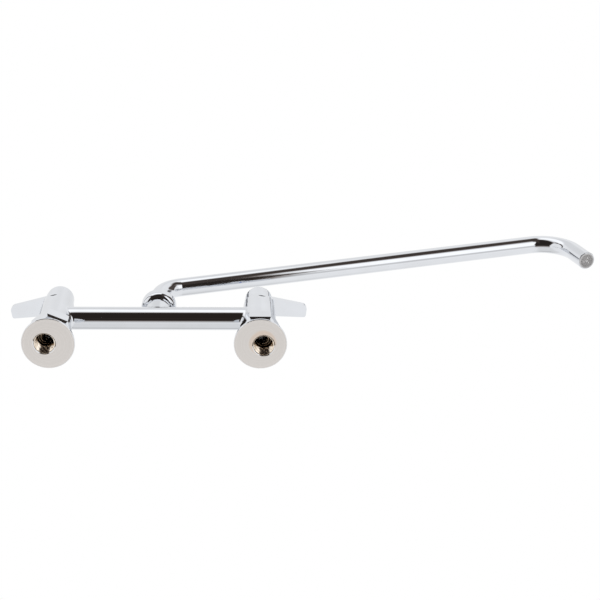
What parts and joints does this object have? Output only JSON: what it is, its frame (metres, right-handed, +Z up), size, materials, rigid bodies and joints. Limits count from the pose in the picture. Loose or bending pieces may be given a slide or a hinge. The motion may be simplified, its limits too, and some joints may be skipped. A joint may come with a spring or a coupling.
{
  "type": "deck mount faucet",
  "caption": "Deck mounted bridge faucet with quarter-turn lever handles, eccentric inlet flanges and a long rising tube spout that swings.",
  "frame": {"origin": "midway between the two valve columns, on the swing axis of the spout, in the plane of the flange faces that rest on the deck", "axes": "+Z up out of the deck, +X along the inlets towards the cold side, -Y towards the user"},
  "size_m": [0.6178, 0.0514, 0.2643],
  "materials": {
    "chrome_plate": "polished chrome plate on brass",
    "flange_plate": "chrome plate with a machined deck face",
    "bare_brass": "turned brass",
    "spring_steel": "spring steel",
    "screw_steel": "bright steel",
    "seal_rubber": "black rubber",
    "disc_ceramic": "lapped ceramic",
    "slip_plastic": "white slip plastic",
    "hot_button": "plated cap with a plain red dot",
    "cold_button": "plated cap with a plain blue dot",
    "outlet_plastic": "dark plastic",
    "outlet_screen": "dark holed disc"
  },
  "bodies": {
    "bridge": {"left_coupling_nut": "chrome_plate", "left_inlet_washer": "seal_rubber", "left_valve_body": "chrome_plate", "left_seat_seal": "seal_rubber", "left_fixed_disc": "disc_ceramic", "left_cartridge_housing": "bare_brass", "left_housing_o_ring": "seal_rubber", "left_bonnet": "chrome_plate", "right_coupling_nut": "chrome_plate", "right_inlet_washer": "seal_rubber", "right_valve_body": "chrome_plate", "right_seat_seal": "seal_rubber", "right_fixed_disc": "disc_ceramic", "right_cartridge_housing": "bare_brass", "right_housing_o_ring": "seal_rubber", "right_bonnet": "chrome_plate", "bridge_tube": "chrome_plate", "spout_boss": "chrome_plate", "swivel_nut": "chrome_plate", "thrust_washer": "slip_plastic", "slip_ring": "slip_plastic"},
    "left_flange": {"left_inlet_flange": "flange_plate", "left_retaining_ring": "spring_steel"},
    "left_handle": {"left_lever_handle": "chrome_plate", "left_stem": "bare_brass", "left_moving_disc": "disc_ceramic", "left_stem_o_ring": "seal_rubber", "left_stem_clip": "spring_steel", "left_handle_screw": "screw_steel", "left_index_button": "hot_button"},
    "right_flange": {"right_inlet_flange": "flange_plate", "right_retaining_ring": "spring_steel"},
    "right_handle": {"right_lever_handle": "chrome_plate", "right_stem": "bare_brass", "right_moving_disc": "disc_ceramic", "right_stem_o_ring": "seal_rubber", "right_stem_clip": "spring_steel", "right_handle_screw": "screw_steel", "right_index_button": "cold_button"},
    "spout": {"spout_tube": "chrome_plate", "spout_sleeve": "bare_brass", "spout_o_ring_lower": "seal_rubber", "spout_o_ring_upper": "seal_rubber", "outlet_housing": "outlet_plastic", "flow_screen": "outlet_screen", "outlet_gasket": "seal_rubber"}
  },
  "joints": [
    {"name": "left_handle_turn", "type": "hinge", "parent": "bridge", "child": "left_handle", "pos_m": [-0.1016, 0, 0.098], "axis": [0, 0, 1], "range_deg": [0, 90]},
    {"name": "left_flange_turn", "type": "hinge", "parent": "bridge", "child": "left_flange", "pos_m": [-0.1016, 0, 0.0205], "axis": [0, 0, 1], "continuous": true},
    {"name": "right_handle_turn", "type": "hinge", "parent": "bridge", "child": "right_handle", "pos_m": [0.1016, 0, 0.098], "axis": [0, 0, -1], "range_deg": [0, 90]},
    {"name": "right_flange_turn", "type": "hinge", "parent": "bridge", "child": "right_flange", "pos_m": [0.1016, 0, 0.0205], "axis": [0, 0, 1], "continuous": true},
    {"name": "spout_swing", "type": "hinge", "parent": "bridge", "child": "spout", "pos_m": [0, 0, 0.094], "axis": [0, 0, 1], "continuous": true}
  ]
}
